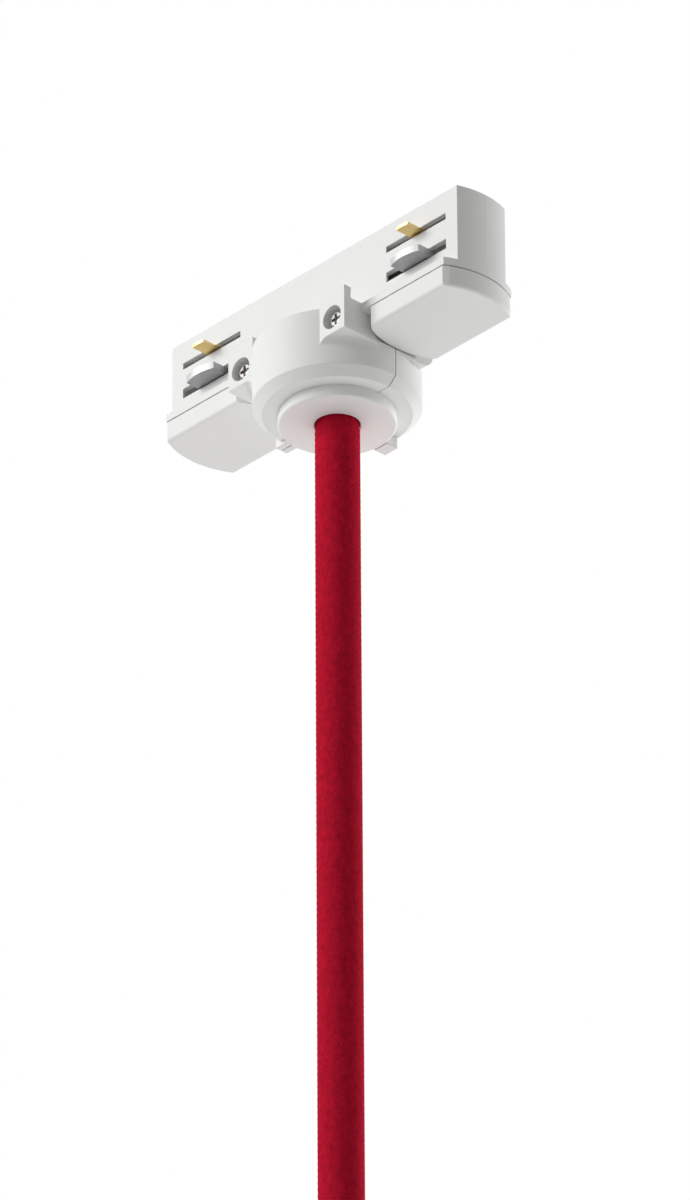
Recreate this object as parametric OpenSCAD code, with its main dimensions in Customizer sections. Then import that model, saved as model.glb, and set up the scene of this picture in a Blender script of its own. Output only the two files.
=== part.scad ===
// Pendant adapter for a lighting track, with a textile cord.
// The origin lies on the axis of the round body, in the plane of the track's underside.
// +X runs along the track, +Y across it to the back, +Z up into the track. Millimetres.

/* [Track fit] */
// Width of the track; the two screw bosses end flush with its side
track_w = 35; // [34:0.5:38]
// Width of the neck that enters the slot of the track
neck_w = 16.4; // [16:0.2:18]
// Height of the neck above the underside of the track
neck_h = 18.5; // [18:0.5:22]
// Height of the neck's floor above the underside of the track
floor_h = 1.9; // [1.5:0.1:2.3]
// Height of the lips that bear on the track
lip_h = 3.1; // [2.6:0.1:3.4]
// Thickness of the lips
lip_t = 2.2; // [1.6:0.1:3]

/* [Housing] */
// Diameter of the round body
dome_d = 42.6; // [42:0.2:46]
// Height of the round body, from its top plate to its flat bottom ring
dome_h = 18.3; // [18:0.1:20]
// Height of the chamfer round the bottom
chamfer_h = 2.3; // [1.4:0.1:2.6]
// Width of the chamfer round the bottom
chamfer_w = 2.5; // [1.6:0.1:3]
// Height of the block that joins the round body to the neck
block_h = 9.1; // [8.6:0.1:9.4]
// Reach of the block behind the middle
block_back = 12.8; // [12:0.1:16]
// Radius along the lower back edge of the block
block_edge = 3.5; // [2:0.1:4]
// Radius of the blend under the screw bosses
blend_r = 2; // [1:0.1:2.5]
// Width of each screw boss
boss_w = 9.1; // [8.6:0.1:9.6]
// Wall of the neck and of the top plate
wall = 1.5; // [1.2:0.1:1.6]
// Wall of the round body
dome_wall = 2.4; // [2:0.1:3]
// Width of the fine groove along the parting line
seam_w = 0.3; // [0.2:0.05:0.5]
// Depth of the fine groove along the parting line
seam_d = 0.4; // [0.2:0.05:0.6]

/* [Housing screws] */
// Diameter of the screw's thread
screw_d = 2.2; // [2:0.1:2.6]
// Diameter of the screw's head
screw_head_d = 4.2; // [3.8:0.1:5]
// Height of the screw's head
screw_head_h = 1.5; // [1.2:0.1:2]
// Diameter of the counterbore over each head
counterbore_d = 6.4; // [5.6:0.1:7]
// Depth of the screw's head below the boss face
screw_sunk = 1.3; // [0.6:0.1:2]
// Length of the screw below its head
screw_len = 22; // [19:0.5:23]

/* [Levers] */
// Distance from the middle to each lever's axis
lever_x = 37.6; // [37:0.1:40]
// Length of the lever over its two bowed ends
lever_len = 32.7; // [32:0.1:33]
// Radius of the lever's bowed ends
lever_end_r = 23.5; // [20:0.5:27]
// Width across the lever's flats
lever_w = 23.2; // [20:0.2:24]
// Height of the lever
lever_h = 5.65; // [4.5:0.05:6]
// Radius along the lever's lower edges
lever_edge = 0.9; // [0.6:0.1:1.6]
// Depth by which the lever's upright corners are trimmed
lever_corner = 0.3; // [0.2:0.1:0.6]
// Gap between the lever and the flange above it
lever_gap = 0.35; // [0.3:0.05:0.6]
// Gap between the lever's end and the body
lever_pocket_gap = 0.35; // [0.3:0.05:0.8]
// Drop of the flange below the underside of the track
flange_drop = 3.2; // [2.8:0.1:3.4]
// Thickness of the flange
flange_t = 2.1; // [2:0.1:2.6]
// Diameter of the lever's shaft
shaft_d = 11; // [10:0.1:11.6]
// Diameter of the keyed spigot above the shaft
spigot_d = 6.4; // [6:0.1:7]
// Width of the spigot across its flats
spigot_w = 5; // [4.4:0.1:5.4]
// Height of the spigot
spigot_h = 6; // [5:0.1:6.4]
// Angle that each lever turns from locked to free
lever_turn = 90; // [60:5:100]

/* [Locking heads] */
// Diameter of the head on each shaft
head_d = 12.6; // [12:0.1:12.8]
// Reach of the locking plate and the contacts from the axis
reach = 13.2; // [12.6:0.1:14]
// Width of the locking plate
plate_w = 10; // [9:0.1:11]
// Thickness of the locking plate
plate_t = 2; // [1.5:0.1:2.4]
// Height of the contact blades above the underside of the track
blade_z = 11; // [10.4:0.1:11.6]
// Width of a contact blade
blade_w = 4; // [3:0.1:5]
// Thickness of the contacts and of the fixed strips
strip_t = 0.8; // [0.5:0.1:1]
// Width of the fixed strips
strip_w = 2.6; // [2:0.1:3]
// Sideways distance of the strips and the terminals from the middle
strip_y = 4.5; // [4.4:0.1:4.8]
// Diameter of the screw in the head
head_screw_d = 2.5; // [2:0.1:2.9]
// Diameter of that screw's own head
head_screw_head_d = 4.4; // [4:0.1:4.6]

/* [Terminals] */
// Lengthways distance of the terminals from the middle
term_x = 6; // [5.6:0.1:6.4]
// Height of the terminal block
term_h = 6; // [5.6:0.1:6.2]
// Outer diameter of a terminal tube
tube_d = 4.4; // [4:0.1:5]
// Diameter of a core with its insulation
core_d = 2.6; // [2:0.1:2.8]
// Diameter of a terminal screw
term_screw_d = 2.4; // [2:0.1:2.8]

/* [Cord outlet] */
// Diameter of the outlet disc
nozzle_d = 29.8; // [28:0.2:31]
// Drop of the disc below the bottom ring
nozzle_drop = 3.1; // [2.5:0.1:4.5]
// Radius round the edge of the disc
nozzle_edge = 0.6; // [0.2:0.1:1]
// Diameter of the outlet's waist in the floor of the round body
waist_d = 18; // [16:0.2:22]
// Thickness of the round body's floor
base_t = 2; // [1.6:0.1:2.2]
// Thickness of the flange that keeps the outlet in the floor
nozzle_flange_t = 1.5; // [1.2:0.1:1.6]
// Width of the lug that the parting line splits
split_lug_w = 3.7; // [3:0.1:5]
// Distance from the axis to the outer end of that lug
split_lug_reach = 20.6; // [19:0.1:20.8]
// Drop of that lug below the bottom ring
split_lug_drop = 1.2; // [0.8:0.1:2]
// Width of the lug on the back half, which is flush with the disc
back_lug_w = 4.5; // [3:0.1:6]
// Distance from the axis to the outer end of that lug
back_lug_reach = 18.4; // [17.5:0.1:19.6]
// Height of the cord clamp
clamp_h = 3; // [2.6:0.1:3.2]
// Length of the cord clamp
clamp_len = 28; // [27:0.2:30]
// Depth of the cord clamp from the cord's axis to its screw heads
clamp_depth = 9; // [8:0.1:10]
// Diameter of the clamp screws
clamp_screw_d = 2.5; // [2:0.1:3]

/* [Cord] */
// Diameter of the textile cord
cord_d = 11; // [9:0.1:11.2]

/* [End fitting] */
// Outer diameter of the cord grip at the lower end
grip_d = 21; // [19:0.2:24]
// Height of the grip's body
grip_h = 15; // [14:0.5:20]
// Height of the cap over the grip's body
cap_h = 11; // [9:0.5:14]
// Diameter of the spigot for the lampholder
nipple_d = 13; // [12:0.1:14]
// Length of the spigot
nipple_len = 10; // [8:0.5:14]
// Diameter of the grip's clamping screw
grip_screw_d = 3; // [2.5:0.1:4]
// Number of finger grooves round the cap
cap_grooves = 18; // [12:1:24]
// Depth of a finger groove
groove_depth = 0.5; // [0.3:0.1:0.7]

/* [Hidden] */
$fn = 64;
// Overshoot of a cut past the face that it opens
cut = 1;
// Running clearance of a shaft in its bore, on the radius
shaft_fit = 0.05;
// Assembly clearance of a piece that stays put, on the radius or each side
seat_fit = 0.05;
// Clearance under the locking plate and over the contacts
head_gap = 0.3;
// Clearance round a moving plate or blade in its window
window_gap = 0.5;
// Clearance of a screw in a hole that it only passes through
pass_fit = 0.1;
// Clearance round a screw's head in its recess
recess_fit = 0.2;
// Clearance of the cord in the outlet and in the end fitting, on the radius
cord_fit = 0.2;
// Flush step by which the bosses stay inside the track's side
flush = 0.1;

dome_r = dome_d / 2;
front_y = track_w / 2 - flush;
block_top = -lip_h;
block_bot = block_top - block_h;
ring_z = block_top - dome_h;
chamfer_top = ring_z + chamfer_h;
nozzle_z = ring_z - nozzle_drop;
split_lug_z = ring_z - split_lug_drop;
base_top = ring_z + base_t;
nozzle_r = nozzle_d / 2;
// The blend's arc is a little over-size, so that it meets both walls at a slight angle, and the
// blend stops this far from the parting line
blend_ease = 1.04;
blend_end = 5;

flange_top = -flange_drop;
flange_bot = flange_top - flange_t;
lever_top = flange_bot - lever_gap;
lever_bot = lever_top - lever_h;
lever_half = lever_len / 2;
// Centre of the arc of a lever's outer end, from its axis, and the circle that its corners turn in
end_centre = lever_half - lever_end_r;
end_x = end_centre + sqrt(pow(lever_end_r, 2) - pow(lever_w / 2, 2));
sweep_r = norm([end_x, lever_w / 2]) - lever_corner;

roof_z = neck_h - wall;
chamber_w = neck_w - 2 * wall;
plate_z = floor_h + head_gap;
head_z = plate_z + plate_t;
strip_z = roof_z - strip_t;
pad_top = strip_z - head_gap;
head_top = pad_top - head_gap;
spigot_top = plate_z + spigot_h;
head_screw_recess = 3;
head_screw_seat = head_top - head_screw_recess;
head_screw_head_h = 1.6;
head_screw_len = 8;

screw_x = dome_r - boss_w / 2;
screw_rise = 0.15;
screw_z = (block_top + block_bot) / 2 + screw_rise;
screw_seat_y = -front_y + screw_sunk + screw_head_h;

// The terminal block is as wide as its screws need, and the chamber round it follows
tube_r = tube_d / 2;
term_screw_len = 3.4;
term_slot_w = 0.5;
term_slot_d = 0.8;
term_screw_y = core_d / 2 + seat_fit;
term_rim = 0.15;
term_room = 0.8;
term_foot = 0.9;
term_flange_t = 1.6;
term_r = norm([term_x + term_screw_d / 2, strip_y + term_screw_y + term_screw_len]) + term_rim;
upper_r = term_r + term_room;
term_flange_r = upper_r + term_foot;
upper_top = block_top - wall;
roof_gap = 0.2;
term_top = upper_top - roof_gap;
term_bot = term_top - term_h;
term_screw_z = term_top - (term_h - term_flange_t) / 2;
well_end = 4;
well_len = 2 * (term_x + tube_r + well_end);
ledge_t = 1.8;
lower_top = term_bot - seat_fit - ledge_t;
lower_r = dome_r - dome_wall;

nozzle_lap = 3;
nozzle_mouth = 0.3;
nozzle_flange_r = waist_d / 2 + nozzle_lap;
nozzle_flange_top = base_top + nozzle_flange_t;
clamp_lift = 0.2;
clamp_bot = nozzle_flange_top + clamp_lift;
clamp_top = clamp_bot + clamp_h;
clamp_screw_shift = 0.75;
clamp_screw_x = (cord_d + clamp_len) / 4 + clamp_screw_shift;
clamp_screw_z = (clamp_bot + clamp_top) / 2;
clamp_slit = 0.8;
clamp_screw_head_d = 4.4;
clamp_screw_head_h = 1.6;
clamp_screw_len = 14;

// Stop lug on each lever and the arc slot that it travels in
stop_r = [7, 9];
stop_h = 0.9;
stop_angle = 24;
stop_start = 195;
stop_slack = 1;

// Route of the cord, from inside the clamp straight down to the end fitting
cord_route = [for (z = [-14.5, -20, -30, -50, -70, -90, -110, -130, -150, -170,
                        -190, -210, -230, -245, -258, -270]) [0, 0, z]];
cord_top = cord_route[0].z;
cord_end = cord_route[len(cord_route) - 1].z;
cord_hole_r = cord_d / 2 + cord_fit;
cord_sides = 12;
core_sides = 10;
core_spread = 0.62;
core_bend_low = cord_top + core_d / 2;
core_rise = 0.2;
core_bend_high = term_bot - core_d / 2 - core_rise;

// End fitting: the cap covers the body's threaded collar and the cord ends inside
cord_hold = 6;
grip_top = cord_end + cord_hold;
grip_bot = grip_top - grip_h;
grip_edge = 0.6;
cap_top = grip_top + cap_h;
cap_lip = 1.5;
collar_wall = 2.5;
collar_d = grip_d - 2 * collar_wall;
collar_h = 6;
nipple_bore = 8;
groove_r = 0.9;
grip_screw_z = (cord_end + grip_top) / 2;
grip_screw_sunk = 0.5;
grip_slot_w = 0.6;
grip_slot_d = 0.9;

// Places a child at a lever's axis; the second lever is the first one turned half round
module at_lever(side)
    translate([side * lever_x, 0, 0])
        rotate([0, 0, side > 0 ? 0 : 180])
            children();

// Straight box from one corner to the opposite one
module span(low, high)
    translate(low)
        cube(high - low);

// Long bar over both levers with bowed ends, cut to a width
module bar(width, end_r, z0, z1) {
    arc_x = lever_x + end_centre;
    intersection() {
        span([-arc_x - end_r - cut, -width / 2, z0], [arc_x + end_r + cut, width / 2, z1]);
        union() {
            span([-arc_x, -end_r, z0], [arc_x, end_r, z1]);
            for (side = [-1, 1])
                translate([side * arc_x, 0, z0])
                    cylinder(h = z1 - z0, r = end_r);
        }
    }
}

// Pan-head screw along +Z with a cross recess: its head sits on z = 0
module pan_screw(d, head_d, head_h, length) {
    rim_h = head_h * 0.55;
    top_r = head_d * 0.34;
    cross_reach = head_d * 0.31;
    cross_w = head_d * 0.16;
    cross_floor = head_h * 0.4;
    difference() {
        union() {
            translate([0, 0, -length])
                cylinder(h = length, d = d);
            rotate_extrude()
                polygon([[0, 0], [head_d / 2, 0], [head_d / 2, rim_h], [top_r, head_h], [0, head_h]]);
        }
        for (turn = [0, 90])
            rotate([0, 0, turn])
                span([-cross_reach, -cross_w / 2, cross_floor], [cross_reach, cross_w / 2, head_h + cut]);
    }
}

// Outer form of the round body, drawn in by a margin for the parting groove
module dome(margin = 0) {
    lean = atan2(chamfer_w, chamfer_h);
    rotate_extrude()
        polygon([[0, block_top], [dome_r - margin, block_top],
                 [dome_r - margin, chamfer_top + margin * tan(lean / 2)],
                 [dome_r - chamfer_w - margin * tan(45 - lean / 2), ring_z + margin], [0, ring_z + margin]]);
}

// Block between the round body and the neck, rounded along its lower back edge
module block() {
    round_y = block_back - block_edge;
    round_z = block_bot + block_edge;
    rotate([90, 0, 90])
        linear_extrude(height = dome_d, center = true)
            union() {
                translate([-front_y, block_bot])
                    square([front_y + round_y, block_h]);
                translate([-front_y, round_z])
                    square([front_y + block_back, block_h - block_edge]);
                translate([round_y, round_z])
                    circle(r = block_edge);
            }
}

// Soft blend from the underside of the screw bosses into the round body
module blend()
    intersection() {
        rotate_extrude()
            difference() {
                translate([dome_r - cut, block_bot - blend_r])
                    square([blend_r + cut, blend_r + cut]);
                translate([dome_r + blend_r, block_bot - blend_r])
                    circle(r = blend_r * blend_ease);
            }
        span([-dome_r, -front_y, block_bot - 2 * blend_r], [dome_r, -blend_end, block_top]);
    }

// Lips on the four corners of the block that bear on the track
module lips() {
    front_in = sqrt(pow(dome_r, 2) - pow(front_y, 2));
    back_in = sqrt(pow(dome_r, 2) - pow(block_back, 2));
    for (side = [0, 1])
        mirror([side, 0, 0]) {
            span([front_in, -front_y, block_top - cut], [dome_r, -front_y + lip_t, 0]);
            span([back_in, block_back - lip_t, block_top - cut], [dome_r, block_back, 0]);
        }
}

// Lugs beside the outlet disc
module lugs()
    difference() {
        union() {
            span([-split_lug_reach, -split_lug_w / 2, split_lug_z],
                 [-dome_r / 2, split_lug_w / 2, chamfer_top]);
            span([-back_lug_w / 2, dome_r / 2, nozzle_z], [back_lug_w / 2, back_lug_reach, chamfer_top]);
        }
        translate([0, 0, nozzle_z - cut])
            cylinder(h = nozzle_drop + cut, r = nozzle_r + seat_fit);
    }

// Fine groove that marks the parting line on the outside
module parting_groove() {
    half = seam_w / 2;
    difference() {
        span([-dome_r - cut, -half, ring_z - cut], [dome_r + cut, half, block_top + cut]);
        dome(seam_d);
        translate([0, 0, ring_z])
            cylinder(h = dome_h, r = dome_r - seam_d - chamfer_w);
    }
    span([-split_lug_reach - cut, -half, split_lug_z - cut], [-nozzle_r, half, split_lug_z + seam_d]);
    span([-split_lug_reach - cut, -half, split_lug_z - cut], [-split_lug_reach + seam_d, half, ring_z]);
}

// Space for a lever's shaft, locking plate, blades and stop lug
module lever_room() {
    translate([0, 0, flange_bot - cut])
        cylinder(h = floor_h - flange_bot + 2 * cut, d = shaft_d + 2 * shaft_fit);
    translate([0, 0, floor_h])
        cylinder(h = head_gap + plate_t + window_gap, r = reach + head_gap);
    translate([0, 0, blade_z - window_gap])
        cylinder(h = strip_t + 2 * window_gap, r = reach + head_gap);
    translate([0, 0, lever_bot - lever_pocket_gap])
        cylinder(h = flange_bot - lever_bot + lever_pocket_gap, r = sweep_r + lever_pocket_gap);
    rotate([0, 0, stop_start - stop_angle / 2 - stop_slack])
        rotate_extrude(angle = lever_turn + stop_angle + 2 * stop_slack)
            translate([stop_r[0] - head_gap, flange_bot - cut])
                square([stop_r[1] - stop_r[0] + 2 * head_gap, cut + stop_h - lever_gap + head_gap]);
}

// The whole moulded housing, before it is parted into its two halves
module housing() {
    difference() {
        union() {
            dome();
            block();
            blend();
            lips();
            bar(lever_w, lever_end_r, flange_bot, flange_top);
            bar(neck_w, lever_end_r, flange_bot, neck_h);
            lugs();
        }
        bar(chamber_w, lever_end_r - wall, floor_h, roof_z);
        span([-well_len / 2, -chamber_w / 2, upper_top - cut], [well_len / 2, chamber_w / 2, floor_h + cut]);
        translate([0, 0, lower_top - cut])
            cylinder(h = upper_top - lower_top + cut, r = upper_r);
        translate([0, 0, term_bot - seat_fit])
            cylinder(h = term_flange_t + 2 * seat_fit, r = term_flange_r + seat_fit);
        translate([0, 0, base_top])
            cylinder(h = lower_top - base_top, r = lower_r);
        translate([0, 0, ring_z - cut])
            cylinder(h = base_t + 2 * cut, d = waist_d + 2 * seat_fit);
        for (side = [-1, 1])
            at_lever(side)
                lever_room();
        parting_groove();
    }
}

// One half of the housing, on the side of the parting plane that the sign gives
module housing_half(sign) {
    long = lever_x + lever_half + cut;
    deep = dome_r + cut;
    intersection() {
        housing();
        span([-long, sign < 0 ? -deep : 0, nozzle_z - cut], [long, sign < 0 ? 0 : deep, neck_h + cut]);
    }
}

module near_housing()
    color("white")
        difference() {
            housing_half(-1);
            for (side = [-1, 1])
                translate([side * screw_x, 0, screw_z])
                    rotate([90, 0, 0]) {
                        translate([0, 0, -cut])
                            cylinder(h = front_y + cut, d = screw_d + 2 * pass_fit);
                        translate([0, 0, -screw_seat_y])
                            cylinder(h = front_y, d = counterbore_d);
                    }
        }

// The back half also carries the saddle that the cord is clamped against
module far_housing()
    color("white")
        difference() {
            union() {
                housing_half(1);
                intersection() {
                    span([-clamp_len / 2, 0, clamp_bot], [clamp_len / 2, dome_r, clamp_top]);
                    translate([0, 0, clamp_bot])
                        cylinder(h = clamp_h, r = lower_r + dome_wall / 2);
                }
            }
            translate([0, 0, clamp_bot - cut])
                cylinder(h = clamp_h + 2 * cut, r = cord_d / 2 + seat_fit);
            for (side = [-1, 1]) {
                translate([side * screw_x, -cut, screw_z])
                    rotate([-90, 0, 0])
                        cylinder(h = screw_len + screw_seat_y + 2 * cut, d = screw_d + 2 * seat_fit);
                translate([side * clamp_screw_x, -cut, clamp_screw_z])
                    rotate([-90, 0, 0])
                        cylinder(h = clamp_screw_len - clamp_depth + 2 * cut,
                                 d = clamp_screw_d + 2 * seat_fit);
            }
        }

module housing_screws()
    color("silver")
        for (side = [-1, 1])
            translate([side * screw_x, screw_seat_y, screw_z])
                rotate([90, 0, 0])
                    pan_screw(screw_d, screw_head_d, screw_head_h, screw_len);

// Outlet disc with a waist in the floor and a flange above it
module cord_nozzle() {
    edge_r = nozzle_r - nozzle_edge;
    edge_z = nozzle_z + nozzle_edge;
    color("white")
        rotate_extrude()
            union() {
                polygon([[cord_hole_r, nozzle_z + nozzle_mouth], [cord_hole_r + nozzle_mouth, nozzle_z],
                         [edge_r, nozzle_z], [edge_r, edge_z], [nozzle_r, edge_z], [nozzle_r, ring_z],
                         [waist_d / 2, ring_z], [waist_d / 2, base_top],
                         [nozzle_flange_r, base_top], [nozzle_flange_r, nozzle_flange_top],
                         [cord_hole_r, nozzle_flange_top]]);
                translate([edge_r, edge_z])
                    circle(r = nozzle_edge);
            }
}

// Keyed section of the spigot, or of a hole for it
module key(z0, z1, fit = 0)
    intersection() {
        translate([0, 0, z0])
            cylinder(h = z1 - z0, d = spigot_d + 2 * fit);
        span([-spigot_w / 2 - fit, -spigot_d, z0], [spigot_w / 2 + fit, spigot_d, z1]);
    }

// Grip of a lever: crisp towards the body, rounded along its flats and its outer end, and
// trimmed at its four upright corners to the circle that they turn in
module lever_grip() {
    side_edge = lever_w / 2 - lever_edge;
    end_edge = lever_end_r - lever_edge;
    intersection() {
        rotate([90, 0, 90])
            linear_extrude(height = 2 * lever_len, center = true)
                union() {
                    translate([-lever_w / 2, lever_bot + lever_edge])
                        square([lever_w, lever_h - lever_edge]);
                    translate([-side_edge, lever_bot])
                        square([2 * side_edge, lever_h]);
                    for (side = [-1, 1])
                        translate([side * side_edge, lever_bot + lever_edge])
                            circle(r = lever_edge);
                }
        translate([end_centre, 0, 0])
            rotate_extrude()
                union() {
                    translate([0, lever_bot])
                        square([end_edge, lever_h]);
                    translate([0, lever_bot + lever_edge])
                        square([lever_end_r, lever_h - lever_edge]);
                    translate([end_edge, lever_bot + lever_edge])
                        circle(r = lever_edge);
                }
        translate([-end_centre, 0, lever_bot - cut])
            cylinder(h = lever_h + 2 * cut, r = lever_end_r);
        translate([0, 0, lever_bot - cut])
            cylinder(h = lever_h + 2 * cut, r = sweep_r);
    }
}

// Lever with its shaft, its keyed spigot and the lug that stops its turn
module lever()
    color("white")
        difference() {
            union() {
                lever_grip();
                translate([0, 0, lever_top - cut])
                    cylinder(h = plate_z - lever_top + cut, d = shaft_d);
                key(plate_z - cut, spigot_top);
                rotate([0, 0, stop_start - stop_angle / 2])
                    rotate_extrude(angle = stop_angle)
                        translate([stop_r[0], lever_top - cut])
                            square([stop_r[1] - stop_r[0], cut + stop_h]);
            }
            translate([0, 0, head_screw_seat - head_screw_len - seat_fit])
                cylinder(h = head_screw_len, d = head_screw_d + 2 * seat_fit);
        }

// Steel plate that swings out over the edges of the track's slot
module locking_plate()
    color("gainsboro")
        difference() {
            intersection() {
                translate([0, 0, plate_z])
                    cylinder(h = plate_t, r = reach);
                span([-plate_w / 2, -reach, plate_z - cut], [plate_w / 2, reach, head_z + cut]);
            }
            key(plate_z - cut, head_z + cut, seat_fit);
        }

// Bent contact: a pad on top, a riser and a blade that reaches into the track
module contact(fit = 0, blade_reach = reach, top = pad_top) {
    riser_y = strip_y + strip_w / 2 - strip_t;
    span([-strip_w / 2 - fit, strip_y - strip_w / 2 - fit, pad_top - strip_t - fit],
         [strip_w / 2 + fit, strip_y + strip_w / 2 + fit, top]);
    span([-strip_w / 2 - fit, riser_y - fit, blade_z], [strip_w / 2 + fit, riser_y + strip_t + fit, top]);
    intersection() {
        span([-blade_w / 2 - fit, riser_y - fit, blade_z - fit],
             [blade_w / 2 + fit, blade_reach, blade_z + strip_t + fit]);
        translate([0, 0, blade_z - fit])
            cylinder(h = strip_t + 2 * fit, r = blade_reach);
    }
}

// Moulded head that carries the contacts on the sides that are listed
module head(sides)
    color("whitesmoke")
        difference() {
            translate([0, 0, head_z])
                cylinder(h = head_top - head_z, d = head_d);
            key(head_z - cut, spigot_top + head_gap, seat_fit);
            translate([0, 0, spigot_top])
                cylinder(h = head_top, d = head_screw_d + 2 * pass_fit);
            translate([0, 0, head_screw_seat])
                cylinder(h = head_screw_recess + cut, d = head_screw_head_d + 2 * recess_fit);
            for (side = sides)
                rotate([0, 0, side > 0 ? 0 : 180])
                    contact(seat_fit, head_d, head_top + cut);
        }

module head_screw()
    color("silver")
        translate([0, 0, head_screw_seat])
            pan_screw(head_screw_d, head_screw_head_d, head_screw_head_h, head_screw_len);

module contact_lever() at_lever(1) lever();
module contact_plate() at_lever(1) locking_plate();
module contact_head() at_lever(1) head([1, -1]);
module line_contact() color("goldenrod") at_lever(1) contact();
module neutral_contact() color("goldenrod") at_lever(1) rotate([0, 0, 180]) contact();
module contact_head_screw() at_lever(1) head_screw();

module latch_lever() at_lever(-1) lever();
module latch_plate() at_lever(-1) locking_plate();
module latch_head() at_lever(-1) head([1]);
module earth_contact() color("goldenrod") at_lever(-1) contact();
module latch_head_screw() at_lever(-1) head_screw();

// The three terminals: lengthways side, and the side of the middle that they lie on
line_terminal = [1, 1];
neutral_terminal = [1, -1];
earth_terminal = [-1, -1];
terminals = [line_terminal, neutral_terminal, earth_terminal];

module at_terminal(place)
    translate([place.x * term_x, place.y * strip_y, 0])
        rotate([0, 0, place.y > 0 ? 0 : 180])
            children();

// Round insulating block, held by its foot in a groove of the two halves
module terminal_block()
    color("ivory")
        difference() {
            union() {
                translate([0, 0, term_bot])
                    cylinder(h = term_h, r = term_r);
                translate([0, 0, term_bot])
                    cylinder(h = term_flange_t, r = term_flange_r);
            }
            for (place = terminals)
                at_terminal(place) {
                    translate([0, 0, term_bot - cut])
                        cylinder(h = term_h + 2 * cut, d = tube_d + 2 * seat_fit);
                    translate([0, 0, term_screw_z])
                        rotate([-90, 0, 0])
                            cylinder(h = term_r, d = term_screw_d + 2 * pass_fit);
                }
        }

module terminal_tubes()
    color("goldenrod")
        for (place = terminals)
            at_terminal(place)
                difference() {
                    translate([0, 0, term_bot])
                        cylinder(h = term_h, d = tube_d);
                    translate([0, 0, term_bot - cut])
                        cylinder(h = term_h + 2 * cut, d = core_d + 2 * seat_fit);
                    translate([0, 0, term_screw_z])
                        rotate([-90, 0, 0])
                            cylinder(h = tube_d, d = term_screw_d + 2 * seat_fit);
                }

module terminal_screws()
    color("silver")
        for (place = terminals)
            at_terminal(place)
                translate([0, term_screw_y, term_screw_z])
                    rotate([-90, 0, 0])
                        difference() {
                            cylinder(h = term_screw_len, d = term_screw_d);
                            span([-term_screw_d, -term_slot_w / 2, term_screw_len - term_slot_d],
                                 [term_screw_d, term_slot_w / 2, term_screw_len + cut]);
                        }

// Fixed strip from a terminal up the neck and along its roof to a head
module strip(place) {
    outer = term_x + tube_r;
    color("goldenrod")
        rotate([0, 0, place.x > 0 ? 0 : 180])
            mirror([0, place.x * place.y > 0 ? 0 : 1, 0])
                translate([0, strip_y - strip_w / 2, 0]) {
                    span([term_x - tube_r, 0, term_top], [outer, strip_w, term_top + strip_t]);
                    span([outer - strip_t, 0, term_top], [outer, strip_w, roof_z]);
                    span([outer - strip_t, 0, strip_z], [lever_x + strip_w / 2, strip_w, roof_z]);
                }
}

module line_strip() strip(line_terminal);
module neutral_strip() strip(neutral_terminal);
module earth_strip() strip(earth_terminal);

// Bar that two screws draw against the cord
module cord_clamp()
    color("ivory")
        difference() {
            span([-clamp_len / 2, -clamp_depth, clamp_bot], [clamp_len / 2, -clamp_slit, clamp_top]);
            translate([0, 0, clamp_bot - cut])
                cylinder(h = clamp_h + 2 * cut, r = cord_d / 2 + seat_fit);
            for (side = [-1, 1])
                translate([side * clamp_screw_x, cut, clamp_screw_z])
                    rotate([90, 0, 0])
                        cylinder(h = clamp_depth + 2 * cut, d = clamp_screw_d + 2 * pass_fit);
        }

module clamp_screws()
    color("silver")
        for (side = [-1, 1])
            translate([side * clamp_screw_x, -clamp_depth, clamp_screw_z])
                rotate([90, 0, 0])
                    pan_screw(clamp_screw_d, clamp_screw_head_d, clamp_screw_head_h, clamp_screw_len);

// Tube along a route that lies in one upright plane, mitred at its bends. side is the level
// direction across that plane.
function unit(v) = v / norm(v);
function step(route, i) = unit(route[i + 1] - route[i]);
function heading(route, i) =
    i == 0 ? step(route, 0) :
    i == len(route) - 1 ? step(route, i - 1) :
    unit(step(route, i - 1) + step(route, i));
function stretch(route, i) = 1 / (heading(route, i) * step(route, min(i, len(route) - 2)));
function ring(route, i, side, d, count) =
    [for (k = [0 : count - 1])
        let (a = 360 * k / count)
            route[i] + d / 2 * (cos(a) * side + sin(a) * stretch(route, i) * cross(side, heading(route, i)))];
function wall_faces(rings, count) =
    [for (k = [0 : rings - 2]) for (i = [0 : count - 1])
        let (j = (i + 1) % count, low = k * count, high = low + count)
            [low + i, low + j, high + j, high + i]];
function end_faces(rings, count) =
    [[for (i = [0 : count - 1]) count - 1 - i],
     [for (i = [0 : count - 1]) (rings - 1) * count + i]];

module tube(route, side, d, count)
    polyhedron(points = [for (i = [0 : len(route) - 1]) each ring(route, i, side, d, count)],
               faces = concat(wall_faces(len(route), count), end_faces(len(route), count)));

// Insulated core from the cord's end to its terminal
module core(place, tint) {
    start = [place.x * core_d * core_spread, place.y * core_d * core_spread];
    goal = [place.x * term_x, place.y * strip_y];
    across = unit(goal - start);
    route = [[start.x, start.y, cord_top], [start.x, start.y, core_bend_low],
             [goal.x, goal.y, core_bend_high], [goal.x, goal.y, term_screw_z + core_d / 2]];
    color(tint)
        tube(route, [-across.y, across.x, 0], core_d, core_sides);
}

module line_core() core(line_terminal, "saddlebrown");
module neutral_core() core(neutral_terminal, "steelblue");
module earth_core() core(earth_terminal, "yellowgreen");

module cord()
    color("crimson")
        tube(cord_route, [1, 0, 0], cord_d, cord_sides);

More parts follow.
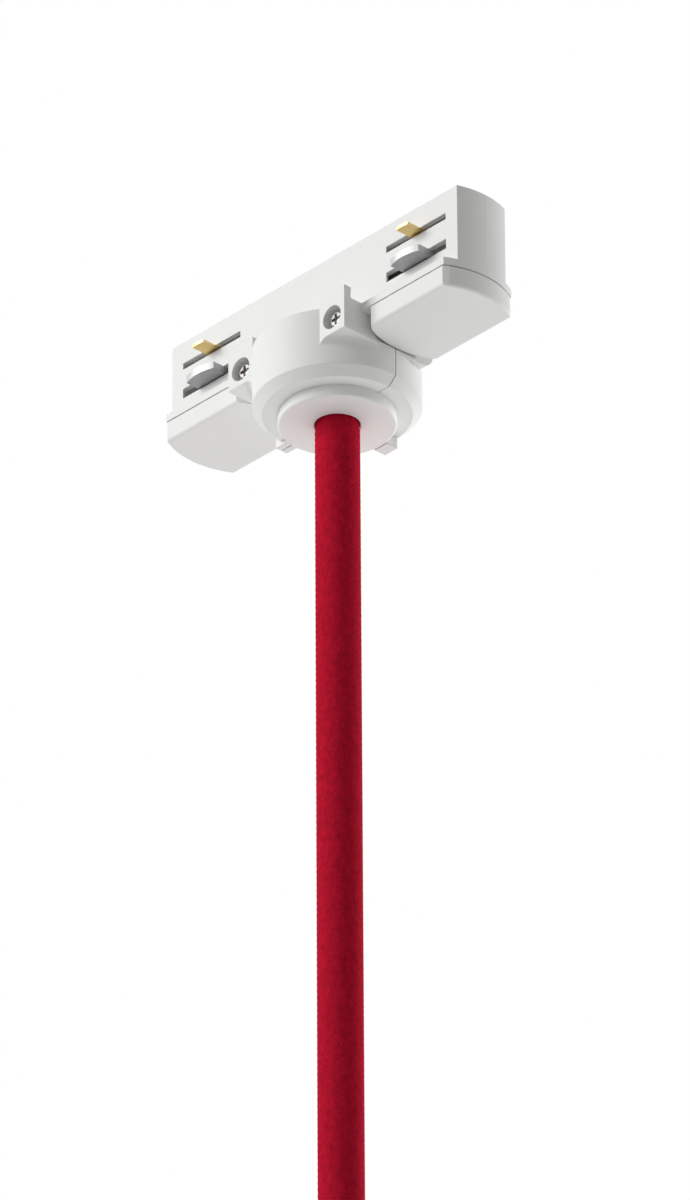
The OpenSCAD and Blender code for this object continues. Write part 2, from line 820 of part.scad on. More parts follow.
// Cap that is screwed over the grip's collar, with grooves for the fingers
module grip_cap()
    color("white")
        difference() {
            rotate_extrude()
                polygon([[cord_hole_r, cap_top], [cord_hole_r + cap_lip, cap_top],
                         [grip_d / 2, cap_top - cap_h / 2], [grip_d / 2, grip_top],
                         [collar_d / 2 + seat_fit, grip_top], [collar_d / 2 + seat_fit, grip_top + collar_h],
                         [cord_hole_r, grip_top + collar_h]]);
            for (i = [0 : cap_grooves - 1])
                rotate([0, 0, 360 * i / cap_grooves])
                    translate([grip_d / 2 + groove_r - groove_depth, 0, grip_top - cut])
                        cylinder(h = cap_h + cut, r = groove_r);
        }

// Body of the cord grip, with the spigot for a lampholder
module grip_body()
    color("white")
        difference() {
            rotate_extrude()
                polygon([[0, grip_top + collar_h], [collar_d / 2, grip_top + collar_h],
                         [collar_d / 2, grip_top], [grip_d / 2, grip_top], [grip_d / 2, grip_bot + grip_edge],
                         [grip_d / 2 - grip_edge, grip_bot], [nipple_d / 2, grip_bot],
                         [nipple_d / 2, grip_bot - nipple_len], [0, grip_bot - nipple_len]]);
            translate([0, 0, cord_end])
                cylinder(h = grip_top + collar_h - cord_end + cut, r = cord_hole_r);
            translate([0, 0, grip_bot - nipple_len - cut])
                cylinder(h = grip_h + nipple_len + cut, d = nipple_bore);
            translate([0, 0, grip_screw_z])
                rotate([90, 0, 0])
                    cylinder(h = grip_d, d = grip_screw_d + 2 * seat_fit);
        }

module grip_screw() {
    tip_y = cord_d / 2 + seat_fit;
    length = grip_d / 2 - tip_y - grip_screw_sunk;
    color("silver")
        translate([0, -tip_y, grip_screw_z])
            rotate([90, 0, 0])
                difference() {
                    cylinder(h = length, d = grip_screw_d);
                    span([-grip_screw_d, -grip_slot_w / 2, length - grip_slot_d],
                         [grip_screw_d, grip_slot_w / 2, length + cut]);
                }
}

near_housing();
far_housing();
housing_screws();
cord_nozzle();
contact_lever();
contact_plate();
contact_head();
line_contact();
neutral_contact();
contact_head_screw();
latch_lever();
latch_plate();
latch_head();
earth_contact();
latch_head_screw();
terminal_block();
terminal_tubes();
terminal_screws();
line_strip();
neutral_strip();
earth_strip();
cord_clamp();
clamp_screws();
line_core();
neutral_core();
earth_core();
cord();
grip_cap();
grip_body();
grip_screw();
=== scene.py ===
import math

import bpy
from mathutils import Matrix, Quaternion, Vector


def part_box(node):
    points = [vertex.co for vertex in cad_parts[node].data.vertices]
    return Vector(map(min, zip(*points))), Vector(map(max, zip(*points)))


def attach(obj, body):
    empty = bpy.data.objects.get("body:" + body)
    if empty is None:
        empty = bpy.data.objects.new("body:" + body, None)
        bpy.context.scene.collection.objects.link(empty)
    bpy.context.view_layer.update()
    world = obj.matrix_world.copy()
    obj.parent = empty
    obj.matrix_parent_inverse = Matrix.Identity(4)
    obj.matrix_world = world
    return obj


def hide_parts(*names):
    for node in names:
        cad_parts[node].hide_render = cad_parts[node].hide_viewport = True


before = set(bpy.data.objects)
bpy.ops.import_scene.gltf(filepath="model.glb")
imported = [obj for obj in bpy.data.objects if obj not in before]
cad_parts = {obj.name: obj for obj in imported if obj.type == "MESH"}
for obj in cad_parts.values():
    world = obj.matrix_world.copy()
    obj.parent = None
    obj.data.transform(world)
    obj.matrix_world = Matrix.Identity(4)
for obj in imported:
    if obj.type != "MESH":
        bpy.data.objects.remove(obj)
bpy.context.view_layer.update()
bpy.context.scene.view_settings.view_transform = "Standard"


# Viewpoint
# The adapter is seen from below and from its screw side, through a long lens that is rolled by
# less than a degree.
MM = 0.001
VIEW_AZIMUTH = math.radians(46.81)
VIEW_ELEVATION = math.radians(-30.28)
VIEW_ROLL = math.radians(-0.317)
VIEW_CENTRE = Vector((-18.70, 19.81, -58.88)) * MM
VIEW_DISTANCE = 2.469
VIEW_HEIGHT = 300 * MM
VIEW_DEPTH = 4 * VIEW_DISTANCE
away = Vector((math.sin(VIEW_AZIMUTH) * math.cos(VIEW_ELEVATION),
               -math.cos(VIEW_AZIMUTH) * math.cos(VIEW_ELEVATION),
               math.sin(VIEW_ELEVATION)))
camera = bpy.data.objects.new("viewpoint", bpy.data.cameras.new("viewpoint"))
bpy.context.scene.collection.objects.link(camera)
camera.location = VIEW_CENTRE + away * VIEW_DISTANCE
heading = (-away).to_track_quat("-Z", "Y") @ Quaternion((0, 0, 1), VIEW_ROLL)
camera.rotation_euler = heading.to_euler()
camera.data.lens = camera.data.sensor_width * VIEW_DISTANCE / VIEW_HEIGHT
camera.data.clip_end = VIEW_DEPTH
bpy.context.scene.camera = camera


# Housing
# Two white moulded halves that are screwed together along the parting line, and the outlet disc that
# they trap. The moulds were finely spark eroded, which leaves a satin grain and edges that aren't sharp.
WHITE_LIGHT = (0.81, 0.815, 0.80, 1)
WHITE_DARK = (0.77, 0.775, 0.76, 1)
OUTLET_LIGHT = (0.85, 0.855, 0.84, 1)
OUTLET_DARK = (0.81, 0.815, 0.80, 1)
CLOUD = 12 * MM
GRAIN = 0.3 * MM
GRAIN_DEPTH = 0.006 * MM
SATIN = 0.48
GRAIN_ROUGHNESS = 0.12
CLOUD_ROUGHNESS = 0.08
PLASTIC_SPECULAR = 0.35
EDGE = 0.25 * MM
EDGE_SAMPLES = 8
# Painted shadow: a thin dark line along the parting plane, below the levers, is colour that stands in
# for the shade in the joint between the halves.
SEAM_SHADOW_HALF_WIDTH = 0.09 * MM
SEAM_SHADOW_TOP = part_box("contact_lever")[0].z * 0.5
SEAM_PAINTED_SHADOW = (0.16, 0.16, 0.155, 1)
RICH = 3.0
MIX_FACTOR, MIX_LOW, MIX_HIGH, MIX_RESULT = 0, 6, 7, 2


class Signal:
    """A value that runs through a material's nodes. Sums and products of signals add Math nodes."""

    def __init__(self, tree, socket):
        self.tree = tree
        self.socket = socket

    def node(self, kind, settings, inputs, output=0):
        """A new node of that kind, with its settings and inputs, as the signal of one of its outputs."""
        made = self.tree.nodes.new(kind)
        for key, value in settings.items():
            setattr(made, key, value)
        self.feed(made, inputs)
        return Signal(self.tree, made.outputs[output])

    def feed(self, made, inputs):
        """Links the signals to a node's inputs and sets the plain values."""
        for key, value in inputs.items():
            if isinstance(value, Signal):
                self.tree.links.new(value.socket, made.inputs[key])
            else:
                made.inputs[key].default_value = value

    def maths(self, operation, *values):
        return self.node("ShaderNodeMath", {"operation": operation}, dict(enumerate(values)))

    def __add__(self, other):
        return self.maths("ADD", self, other)

    __radd__ = __add__

    def __sub__(self, other):
        return self.maths("SUBTRACT", self, other)

    def __rsub__(self, other):
        return self.maths("SUBTRACT", other, self)

    def __mul__(self, other):
        return self.maths("MULTIPLY", self, other)

    __rmul__ = __mul__

    def sine(self):
        return self.maths("SINE", self)

    def size(self):
        return self.maths("ABSOLUTE", self)

    def at_most(self, limit):
        return self.maths("MINIMUM", self, limit)

    def below(self, limit):
        """1 where this signal is under the limit, and 0 elsewhere."""
        return self.maths("LESS_THAN", self, limit)

    def part(self, axis):
        """The X, Y or Z of a vector, as axis 0, 1 or 2."""
        return self.node("ShaderNodeSeparateXYZ", {}, {"Vector": self}, axis)

    def attribute(self, name):
        """The mesh's attribute of that name, or 0 on a mesh that has none."""
        return self.node("ShaderNodeAttribute", {"attribute_name": name}, {}, "Fac")

    def noise(self, size, detail=2.0, stretch=(1, 1, 1)):
        """Noise from 0 to 1, with features of that size in metres that the stretch draws out."""
        scaled = self.node("ShaderNodeMapping", {}, {"Vector": self, "Scale": [1 / s for s in stretch]})
        inputs = {"Vector": scaled, "Scale": 1 / size, "Detail": detail}
        return self.node("ShaderNodeTexNoise", {}, inputs)

    def tint(self, low, high):
        """Colour between two colours, by this signal from 0 to 1. Mix has sockets that share names."""
        inputs = {MIX_FACTOR: self, MIX_LOW: low, MIX_HIGH: high}
        return self.node("ShaderNodeMix", {"data_type": "RGBA"}, inputs, MIX_RESULT)

    def bump(self, depth, normal=None):
        """Normal of a surface whose height is this signal times a depth in metres."""
        inputs = {"Height": self, "Strength": 1.0, "Distance": depth}
        if normal:
            inputs["Normal"] = normal
        return self.node("ShaderNodeBump", {}, inputs)


def new_finish(name):
    """A material, the signal of its object coordinates, and its shader."""
    material = bpy.data.materials.new(name)
    material.use_nodes = True
    tree = material.node_tree
    place = Signal(tree, tree.nodes.new("ShaderNodeTexCoord").outputs["Object"])
    return material, place, tree.nodes["Principled BSDF"]


def wear(material, *names):
    """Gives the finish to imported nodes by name."""
    for name in names:
        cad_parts[name].material_slots[0].material = material


def moulded_plastic(name, dark, light, grain=GRAIN, depth=GRAIN_DEPTH, seam_shadow=0.0):
    """Satin plastic with a faint clouding, a fine grain, soft edges and, on a split piece, a painted
    shadow line along its seam.
    """
    material, place, shader = new_finish(name)
    cloud = place.noise(CLOUD, RICH)
    specks = place.noise(grain)
    soft = place.node("ShaderNodeBevel", {"samples": EDGE_SAMPLES}, {"Radius": EDGE})
    colour = cloud.tint(dark, light)
    # Painted shadow along the seam where the halves part.
    if seam_shadow:
        seam_shadow_mask = place.part(1).size().below(seam_shadow) * place.part(2).below(SEAM_SHADOW_TOP)
        colour = seam_shadow_mask.tint(colour, SEAM_PAINTED_SHADOW)
    place.feed(shader, {"Base Color": colour,
                        "Roughness": specks * GRAIN_ROUGHNESS + cloud * CLOUD_ROUGHNESS + SATIN,
                        "Specular IOR Level": PLASTIC_SPECULAR,
                        "Normal": specks.bump(depth, soft)})
    return material


housing_plastic = moulded_plastic("housing_plastic_finish", WHITE_DARK, WHITE_LIGHT, seam_shadow=SEAM_SHADOW_HALF_WIDTH)
wear(housing_plastic, "near_housing", "far_housing")
wear(moulded_plastic("outlet_plastic_finish", OUTLET_DARK, OUTLET_LIGHT), "cord_nozzle")


# Levers
# Two moulded levers that turn under the flange, each on a shaft that the halves hold. They are of the
# same white plastic, from a smoother mould.
LEVER_GRAIN = 0.25 * MM
LEVER_GRAIN_DEPTH = 0.004 * MM
lever_plastic = moulded_plastic("lever_plastic_finish", WHITE_DARK, WHITE_LIGHT,
                                grain=LEVER_GRAIN, depth=LEVER_GRAIN_DEPTH)
wear(lever_plastic, "contact_lever", "latch_lever")


# Screws
# Pan-head screws of nickel plated steel: two hold the halves together, one holds each locking head
# and two hold the cord clamp. They are cold headed with a cross recess and have rolled threads.
NICKEL_DARK = (0.30, 0.29, 0.28, 1)
NICKEL_LIGHT = (0.45, 0.44, 0.42, 1)
NICKEL_ROUGHNESS = 0.4
EVEN = (1, 1, 1)
STREAK = 0.2 * MM
STREAK_DEPTH = 0.004 * MM
STREAK_ROUGHNESS = 0.15
HAZE = 3 * MM
HAZE_ROUGHNESS = 0.1
# Painted shade: the cross recesses are tinted and made less metallic, so that their colour stands in for
# the shade inside them.
RECESS_PAINTED_SHADE = (0.42, 0.39, 0.37, 1)
RECESS_PAINTED_DULLING = 0.5
ARM_WIDER = 1.4
ARM_LONGER = 1.2
HEAD_RIM = 0.55
HEAD_FLAT = 0.68
HEAD_CROWN = 0.8
HOUSING_HEAD_H = 1.5 * MM
HOUSING_SHANK_R = 1.1 * MM
INNER_HEAD_H = 1.6 * MM
INNER_SHANK_R = 1.25 * MM
SCREW_PITCH = 0.9 * MM
SCREW_THREAD = 0.22 * MM
RINGS_A_TURN = 8
SMOOTH_ANGLE = math.radians(30)
NEARLY = 0.01 * MM
SLACK = 0.01
SIDEWAYS = 0.5
UP = Vector((0, 0, 1))
NEAR = Vector((0, -1, 0))


def plated_metal(name, dark, light, stretch, roughness, recessed=False):
    """Metal with fine streaks along the direction that it was rolled or drawn, and, where asked, painted
    shade in a recess, which is tinted and made less metallic.
    """
    material, place, shader = new_finish(name)
    streaks = place.noise(STREAK, RICH, stretch)
    haze = place.noise(HAZE)
    colour, metallic = haze.tint(dark, light), 1.0
    if recessed:
        # Painted shade: the marked recess is tinted and dulled to stand in for its shade.
        recess = place.attribute("recess")
        colour, metallic = recess.tint(colour, RECESS_PAINTED_SHADE), 1 - recess * RECESS_PAINTED_DULLING
    place.feed(shader, {"Base Color": colour,
                        "Metallic": metallic,
                        "Roughness": streaks * STREAK_ROUGHNESS + haze * HAZE_ROUGHNESS + roughness,
                        "Normal": streaks.bump(STREAK_DEPTH)})
    return material


def shaped_copy(name, node):
    """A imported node's mesh as a new piece, merged so that it can be shaped."""
    bpy.ops.object.select_all(action="DESELECT")
    piece = bpy.data.objects.new(name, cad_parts[node].data.copy())
    bpy.context.scene.collection.objects.link(piece)
    bpy.context.view_layer.objects.active = piece
    piece.select_set(True)
    bpy.ops.object.mode_set(mode="EDIT")
    bpy.ops.mesh.select_all(action="SELECT")
    bpy.ops.mesh.remove_doubles(threshold=NEARLY)
    bpy.ops.mesh.customdata_custom_splitnormals_clear()
    bpy.ops.object.mode_set(mode="OBJECT")
    return piece


def from_axis(place, foot, along):
    """How far a point is along an axis from its foot, and the vector from the axis to it."""
    up = (place - foot).dot(along)
    return up, place - foot - along * up


def cut_thread(piece, foot, along, radius, pitch, depth):
    """Cuts a right-hand thread into the round wall of that radius about an axis.

    The wall's faces make way for rings of new ones, which then follow the groove. It runs out at
    both ends.
    """
    mesh = piece.data
    bpy.ops.object.mode_set(mode="EDIT")
    bpy.ops.mesh.select_mode(type="FACE")
    bpy.ops.mesh.select_all(action="DESELECT")
    bpy.ops.object.mode_set(mode="OBJECT")
    ups = []
    for face in mesh.polygons:
        spots = [from_axis(mesh.vertices[k].co, foot, along) for k in face.vertices]
        face.select = (all(abs(off.length - radius) < NEARLY for up, off in spots)
                       and abs(face.normal.dot(along)) < SIDEWAYS)
        if face.select:
            ups += [up for up, off in spots]
    low, high = min(ups), max(ups)
    bpy.ops.object.mode_set(mode="EDIT")
    bpy.ops.mesh.delete(type="FACE")
    bpy.ops.mesh.select_mode(type="EDGE")
    bpy.ops.mesh.select_non_manifold()
    cuts = round(RINGS_A_TURN * (high - low) / pitch) - 1
    bpy.ops.mesh.bridge_edge_loops(number_cuts=cuts, interpolation="LINEAR")
    bpy.ops.object.mode_set(mode="OBJECT")
    side = along.orthogonal().normalized()
    ahead = along.cross(side)
    for vertex in mesh.vertices:
        up, off = from_axis(vertex.co, foot, along)
        if abs(off.length - radius) < 2 * NEARLY and low + NEARLY < up < high - NEARLY:
            turn = up / pitch - math.atan2(off.dot(ahead), off.dot(side)) / (2 * math.pi)
            groove = abs(2 * (turn % 1) - 1) * min(1, (up - low) / pitch, (high - up) / pitch)
            vertex.co -= off * (groove * depth / radius)


def pan_screws(name, node, body, seats, out, head_h, shank_r):
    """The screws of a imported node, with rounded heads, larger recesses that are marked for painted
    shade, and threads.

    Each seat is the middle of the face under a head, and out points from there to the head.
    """
    piece = shaped_copy(name, node)
    mesh = piece.data
    head_r = max(from_axis(vertex.co, seats[0], out)[1].length for vertex in mesh.vertices
                 if (vertex.co - seats[0]).length < 2 * head_h)
    flat_r, crown_r, rim = HEAD_FLAT * head_r, HEAD_CROWN * head_r, HEAD_RIM * head_h
    for seat in seats:
        for vertex in mesh.vertices:
            up, off = from_axis(vertex.co, seat, out)
            share = (off.length - flat_r) / (head_r - flat_r)
            if -SLACK < share < 1 - SLACK and up > rim:
                rise = (head_h - rim) * math.sqrt(1 - max(0, share) ** 2)
                off.length = crown_r + (head_r - crown_r) * share
                vertex.co = seat + off + out * (rim + rise)
            elif share <= -SLACK and up > NEARLY:
                grown = [d * (ARM_WIDER if abs(d) < flat_r / 2 else ARM_LONGER) for d in off]
                vertex.co = seat + Vector(grown) + out * up
        cut_thread(piece, seat, out, shank_r, SCREW_PITCH, SCREW_THREAD)
    # Marks the faces sunk in each recess, which get the painted shade.
    recess = mesh.attributes.new("recess", "FLOAT", "FACE")
    for face in mesh.polygons:
        spots = [from_axis(face.center, seat, out) for seat in seats]
        sunk = any(NEARLY < up < head_h - NEARLY and off.length < flat_r for up, off in spots)
        recess.data[face.index].value = float(sunk)
    bpy.ops.object.shade_smooth_by_angle(angle=SMOOTH_ANGLE)
    mesh.materials.clear()
    mesh.materials.append(recessed_nickel)
    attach(piece, body)
    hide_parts(node)


nickel = plated_metal("nickel_finish", NICKEL_DARK, NICKEL_LIGHT, EVEN, NICKEL_ROUGHNESS)
wear(nickel, "terminal_screws", "grip_screw")
recessed_nickel = plated_metal("recessed_nickel_finish", NICKEL_DARK, NICKEL_LIGHT, EVEN,
                               NICKEL_ROUGHNESS, recessed=True)
for node, head_h, shank_r in (("housing_screws", HOUSING_HEAD_H, HOUSING_SHANK_R),
                              ("clamp_screws", INNER_HEAD_H, INNER_SHANK_R)):
    low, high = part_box(node)
    middle = (low.z + high.z) / 2
    reach = high.x - (high.z - low.z) / 2
    seats = [Vector((side * reach, low.y + head_h, middle)) for side in (1, -1)]
    pan_screws("threaded_" + node, node, "housing", seats, NEAR, head_h, shank_r)
for body in ("contact_lever", "latch_lever"):
    node = body.replace("lever", "head_screw")
    low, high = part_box(node)
    seat = Vector(((low.x + high.x) / 2, (low.y + high.y) / 2, high.z - INNER_HEAD_H))
    pan_screws("threaded_" + node, node, body, [seat], UP, INNER_HEAD_H, INNER_SHANK_R)


# Locking heads
# Zinc plated steel plates that swing out to lock the adapter, moulded heads above them, and bent brass
# contacts. Each set is screwed to the keyed end of a lever's shaft. Brass strips run from the contacts
# to the terminals.
ZINC_DARK = (0.36, 0.37, 0.38, 1)
ZINC_LIGHT = (0.48, 0.48, 0.48, 1)
ZINC_ROUGHNESS = 0.4
BRASS_DARK = (0.70, 0.50, 0.20, 1)
BRASS_LIGHT = (0.82, 0.63, 0.30, 1)
BRASS_ROUGHNESS = 0.22
ROLLED_X = (20, 1, 1)
ROLLED_Y = (1, 20, 1)
HEAD_DARK = (0.60, 0.60, 0.58, 1)
HEAD_LIGHT = (0.68, 0.68, 0.66, 1)
zinc = plated_metal("zinc_finish", ZINC_DARK, ZINC_LIGHT, ROLLED_X, ZINC_ROUGHNESS)
wear(zinc, "contact_plate", "latch_plate")
wear(moulded_plastic("head_plastic_finish", HEAD_DARK, HEAD_LIGHT), "contact_head", "latch_head")
brass = plated_metal("brass_finish", BRASS_DARK, BRASS_LIGHT, ROLLED_Y, BRASS_ROUGHNESS)
wear(brass, "line_contact", "neutral_contact", "earth_contact", "line_strip", "neutral_strip",
     "earth_strip", "terminal_tubes")


# Terminals and clamp
# A block of ivory plastic that the halves trap, with the terminal tubes in it, and a bar of the same
# plastic that two screws press on the cord.
IVORY_DARK = (0.66, 0.61, 0.50, 1)
IVORY_LIGHT = (0.74, 0.69, 0.58, 1)
wear(moulded_plastic("ivory_finish", IVORY_DARK, IVORY_LIGHT), "terminal_block", "cord_clamp")


# Cores
# The cord's three insulated cores, from the end of the sleeve to their terminals. The earth core has
# a yellow stripe along its green insulation.
BROWN_DARK = (0.13, 0.05, 0.02, 1)
BROWN_LIGHT = (0.20, 0.09, 0.04, 1)
BLUE_DARK = (0.03, 0.11, 0.35, 1)
BLUE_LIGHT = (0.05, 0.16, 0.45, 1)
GREEN_DARK = (0.12, 0.34, 0.03, 1)
GREEN_LIGHT = (0.22, 0.48, 0.06, 1)
BLOOM = 1.5 * MM
BLOOM_DEPTH = 0.02 * MM
BLOOM_ROUGHNESS = 0.2
INSULATION_ROUGHNESS = 0.4
EARTH_START = Vector((-1.61, -1.61, 0)) * MM
EARTH_END = Vector((-6, -4.5, 0)) * MM
EARTH_STRIPE = 0.5 * MM
EARTH_YELLOW = (0.72, 0.52, 0.03, 1)


def insulation(name, dark, light, striped=False):
    """Soft insulation with a slight bloom, and with the earth core's stripe where asked."""
    material, place, shader = new_finish(name)
    bloom = place.noise(BLOOM, RICH)
    colour = bloom.tint(dark, light)
    if striped:
        run = (EARTH_END - EARTH_START).normalized()
        across = Vector((-run.y, run.x, 0))
        inputs = {0: place, 1: across}
        offset = place.node("ShaderNodeVectorMath", {"operation": "DOT_PRODUCT"}, inputs, "Value")
        stripe = (offset - across.dot(EARTH_START)).size().below(EARTH_STRIPE)
        colour = stripe.tint(colour, EARTH_YELLOW)
    place.feed(shader, {"Base Color": colour,
                        "Roughness": bloom * BLOOM_ROUGHNESS + INSULATION_ROUGHNESS,
                        "Normal": bloom.bump(BLOOM_DEPTH)})
    return material


wear(insulation("brown_insulation_finish", BROWN_DARK, BROWN_LIGHT), "line_core")
wear(insulation("blue_insulation_finish", BLUE_DARK, BLUE_LIGHT), "neutral_core")
wear(insulation("green_insulation_finish", GREEN_DARK, GREEN_LIGHT, striped=True), "earth_core")


# End fitting
# A white moulded cord grip: a cap screwed over a body, a set screw, and a spigot with a thread for
# the lampholder.
SPIGOT_R = 6.5 * MM
SPIGOT_PITCH = 1 * MM
SPIGOT_THREAD = 0.5 * MM
grip_plastic = moulded_plastic("grip_plastic_finish", WHITE_DARK, WHITE_LIGHT)
wear(grip_plastic, "grip_cap")
grip_body = shaped_copy("threaded_grip_body", "grip_body")
spigot_foot = Vector((0, 0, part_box("grip_body")[0].z))
cut_thread(grip_body, spigot_foot, UP, SPIGOT_R, SPIGOT_PITCH, SPIGOT_THREAD)
bpy.ops.object.shade_smooth_by_angle(angle=SMOOTH_ANGLE)
grip_body.data.materials.clear()
grip_body.data.materials.append(grip_plastic)
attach(grip_body, "housing")
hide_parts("grip_body")


# Cord
# A three-core pendant cord in a red textile sleeve that hangs straight down. The sleeve is braided
# over the cores from two sets of flat yarns, which cross two over and two under.
CORD_D = 11 * MM
CORD_ROUTE = [Vector((0, 0, z)) * MM for z in (-14.5, -20, -30, -50, -70, -90, -110, -130, -150, -170,
                                               -190, -210, -230, -245, -258, -270)]
CORD_LENGTH = (CORD_ROUTE[0] - CORD_ROUTE[-1]).length
OUTLET = (0, 0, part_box("cord_nozzle")[0].z)
GRIP_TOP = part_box("grip_cap")[1].z
SLEEVE_SWELL = 0.2 * MM
SWELL_LENGTH = 2 * MM
YARNS = 40
FILAMENTS = 3
BRAID_RELIEF = 0.16 * MM
YARN_ROUNDING = 0.7
YARN_ARCHING = 0.45
BRAID_ROWS = round(4 * YARNS * CORD_LENGTH / (math.pi * CORD_D))
BRAID_LEAD = 4 * YARNS / BRAID_ROWS
TEXTILE_LIGHT = (0.63, 0.009, 0.037, 1)
TEXTILE_DARK = (0.36, 0.005, 0.020, 1)
TEXTILE_ROUGHNESS = 0.98
TEXTILE_SPECULAR = 0.05
FIBRE = 0.3 * MM
FIBRE_STRETCH = (1, 1, 2)
FIBRE_DEPTH = 0.05 * MM
FIBRE_GLOSS = 0.1
FLECK = 1.2 * MM
FLECK_STRETCH = (1, 1, 1.6)
# Painted shade: the grooves between the yarns, where the relief is low, are painted darker by this
# weight.
GROOVE_PAINTED_SHADE = 0.45
FILAMENT_SHADE = 0.1
FIBRE_SHADE = 0.5
FLECK_SHADE = 1.3
SHADE_DROP = 0.7


def left_on_top(right, left):
    """Whether a left-hand yarn covers the right-hand one, at a place in half yarns across each set."""
    return (right // 2 - left // 2) % 4 >= 2


def braid_height(right, left):
    """Height from 0 to 1 of the braid, at a place in half yarns across each set."""
    order = (right // 2 - left // 2) % 4
    across_right, across_left = right % 2 / 2, left % 2 / 2
    if left_on_top(right, left):
        along, across = (across_right + order - 2) / 2, across_left
    else:
        along, across = (across_left + 1 - order) / 2, across_right
    return math.sin(math.pi * across) ** YARN_ROUNDING * math.sin(math.pi * along) ** YARN_ARCHING


def sleeve_radius(z):
    """Radius of the sleeve, which swells a little where neither the outlet nor the grip holds it."""
    loose = max(0, min(1, (OUTLET[2] - z) / SWELL_LENGTH, (z - GRIP_TOP) / SWELL_LENGTH))
    return CORD_D / 2 + SLEEVE_SWELL * loose ** 2 * (3 - 2 * loose)


def braided_sleeve(name):
    """Closed sleeve down the route, with vertices where the yarns cross and at the yarns' middles."""
    around = 2 * YARNS
    vertices, heights = [], []
    for row in range(BRAID_ROWS + 1):
        for k in range(around):
            quarter = 2 * k + row % 2
            height = braid_height((quarter + row) // 2, (quarter - row) // 2)
            angle = 2 * math.pi * quarter / (4 * YARNS)
            z = CORD_ROUTE[0].z - CORD_LENGTH * row / BRAID_ROWS
            r = sleeve_radius(z) - BRAID_RELIEF * (1 - height)
            vertices.append((r * math.cos(angle), r * math.sin(angle), z))
            heights.append(height)

    def corner(row, quarter):
        """Vertex of a row at a quarter of a yarn's width, with its place on the UV map."""
        return row * around + quarter // 2 % around, (quarter / (4 * YARNS), row / BRAID_ROWS)

    corners, lays = [], []
    for row in range(BRAID_ROWS + 1):
        for k in range(around):
            quarter = 2 * k + row % 2 + 1
            high, low = corner(row - 1, quarter), corner(row + 1, quarter)
            before, after = corner(row, quarter - 1), corner(row, quarter + 1)
            if row == 0:
                corners.append((before, low, after))
            elif row == BRAID_ROWS:
                corners.append((before, after, high))
            else:
                corners.append((high, before, low, after))
            lays.append(float(left_on_top((quarter + row - 1) // 2, (quarter - row - 1) // 2)))
    corners.append([corner(0, 2 * k) for k in range(around)])
    corners.append([corner(BRAID_ROWS, 2 * k + BRAID_ROWS % 2) for k in reversed(range(around))])
    mesh = bpy.data.meshes.new(name)
    mesh.from_pydata(vertices, [], [[vertex for vertex, place in face] for face in corners])
    mesh.uv_layers.new(name="turns").data.foreach_set(
        "uv", [value for face in corners for vertex, place in face for value in place])
    mesh.attributes.new("relief", "FLOAT", "POINT").data.foreach_set("value", heights)
    mesh.attributes.new("lay", "FLOAT", "FACE").data.foreach_set("value", lays + [0.0, 0.0])
    mesh.polygons.foreach_set("use_smooth", [True] * len(lays) + [False] * 2)
    sleeve = bpy.data.objects.new(name, mesh)
    bpy.context.scene.collection.objects.link(sleeve)
    return sleeve


textile, place, shader = new_finish("red_textile")
turns = place.node("ShaderNodeUVMap", {"uv_map": "turns"}, {})
turn = turns.part(0)
lead = turns.part(1)
relief = place.attribute("relief")
lay = place.attribute("lay")
across = turn + (lead - 2 * (lead * lay)) * (1 / BRAID_LEAD)
filament = (across * (2 * math.pi * YARNS * FILAMENTS)).sine() * 0.5 + 0.5
fibre = place.noise(FIBRE, RICH, FIBRE_STRETCH)
fleck = place.noise(FLECK, stretch=FLECK_STRETCH)
# Painted shade: the colour darkens where the braid's relief is low, as shade would fall between the
# yarns; the fibre and fleck noise is the yarns' own random tone.
woven_and_groove_shade = relief * GROOVE_PAINTED_SHADE + filament * FILAMENT_SHADE
tone_and_groove_shade = woven_and_groove_shade + fibre * FIBRE_SHADE + fleck * FLECK_SHADE - SHADE_DROP
place.feed(shader, {"Base Color": tone_and_groove_shade.tint(TEXTILE_DARK, TEXTILE_LIGHT),
                    "Roughness": TEXTILE_ROUGHNESS - fibre * FIBRE_GLOSS,
                    "Specular IOR Level": TEXTILE_SPECULAR,
                    "Normal": (filament * 0.5 + fibre).bump(FIBRE_DEPTH)})

cord = braided_sleeve("textile_cord")
cord.data.materials.append(textile)
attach(cord, "housing")
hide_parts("cord")


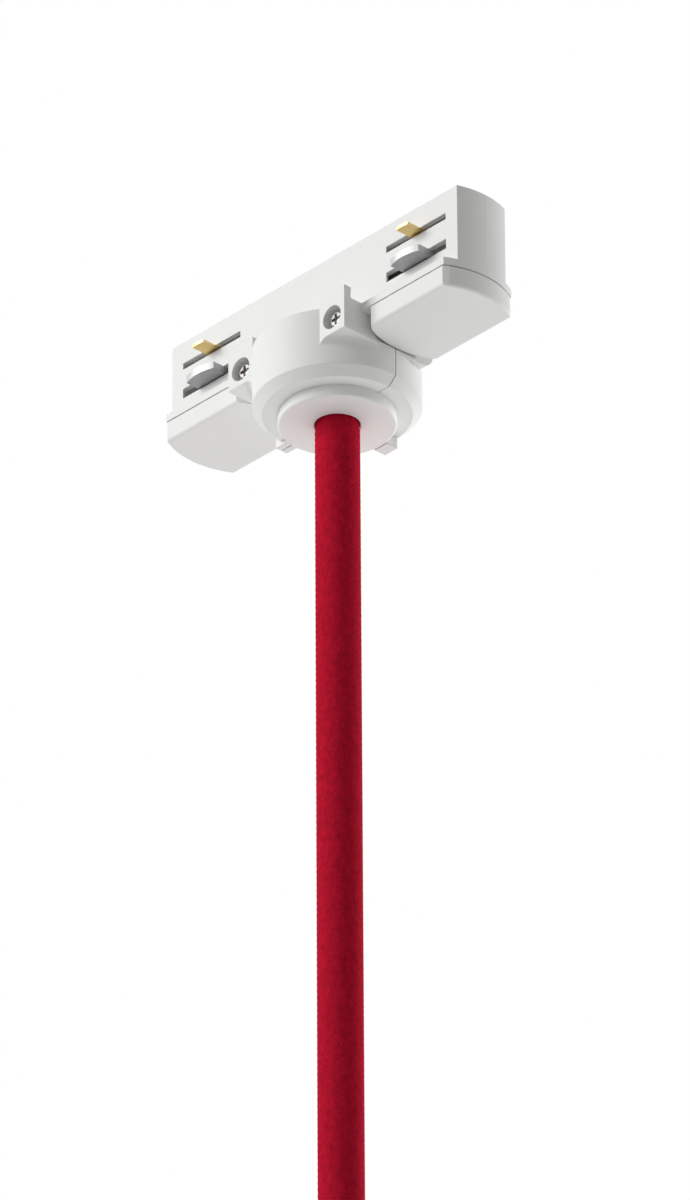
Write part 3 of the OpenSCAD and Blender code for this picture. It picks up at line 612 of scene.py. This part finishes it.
# Floor and light
# A plain pale floor far below, a white surround, and soft lamps: the key from the screw side, a rim
# from the back and a wide fill from below.
FLOOR_Z = -10.5
FLOOR_SIZE = 200
FLOOR_DARK = (0.86, 0.86, 0.86, 1)
FLOOR_LIGHT = (0.9, 0.9, 0.9, 1)
FLOOR_MOTTLE = 0.5
FLOOR_ROUGHNESS = 0.9
FLOOR_GLOW = 0.9
PURE_WHITE = (1, 1, 1, 1)
AMBIENT = 0.41
LAMP_AIM = Vector((0, 0, -0.05))
LAMP_DISTANCE = 1.6
bpy.ops.object.select_all(action="DESELECT")
bpy.ops.mesh.primitive_plane_add(size=FLOOR_SIZE, location=(0, 0, FLOOR_Z))
floor = bpy.context.object
floor.name = "floor"
pale, place, shader = new_finish("pale_floor")
place.feed(shader, {"Base Color": place.noise(FLOOR_MOTTLE).tint(FLOOR_DARK, FLOOR_LIGHT),
                    "Roughness": FLOOR_ROUGHNESS})
seen = place.node("ShaderNodeLightPath", {}, {}, "Is Camera Ray")
glow = place.node("ShaderNodeEmission", {}, {"Color": PURE_WHITE, "Strength": 1.0})
lit = Signal(place.tree, shader.outputs[0])
both = place.node("ShaderNodeMixShader", {}, {0: seen * FLOOR_GLOW, 1: lit, 2: glow})
place.feed(pale.node_tree.nodes["Material Output"], {"Surface": both})
floor.data.materials.append(pale)

world = bpy.data.worlds.new("surround")
world.use_nodes = True
bpy.context.scene.world = world
tree = world.node_tree
rays = tree.nodes.new("ShaderNodeLightPath").outputs
direct = (Signal(tree, rays["Is Camera Ray"]) + Signal(tree, rays["Is Glossy Ray"])
          + Signal(tree, rays["Is Transmission Ray"]))
strength = direct.at_most(1.0) * (1 - AMBIENT) + AMBIENT
direct.feed(tree.nodes["Background"], {"Color": PURE_WHITE, "Strength": strength})


def soft_lamp(name, direction, size, level):
    """Square lamp, that way from the adapter, which lights a facing white surface to that level."""
    lamp = bpy.data.objects.new(name, bpy.data.lights.new(name, "AREA"))
    bpy.context.scene.collection.objects.link(lamp)
    toward = Vector(direction).normalized()
    lamp.location = LAMP_AIM + toward * LAMP_DISTANCE
    lamp.rotation_euler = (-toward).to_track_quat("-Z", "Y").to_euler()
    lamp.data.size = size
    lamp.data.energy = level * (math.pi * LAMP_DISTANCE) ** 2
    lamp.visible_camera = False


soft_lamp("key_lamp", direction=(-0.48, -0.81, 0.34), size=0.9, level=0.75)
soft_lamp("rim_lamp", direction=(0.21, 0.97, 0.1), size=1.0, level=0.70)
soft_lamp("fill_lamp", direction=(-0.28, 0.28, -0.92), size=2.2, level=0.76)
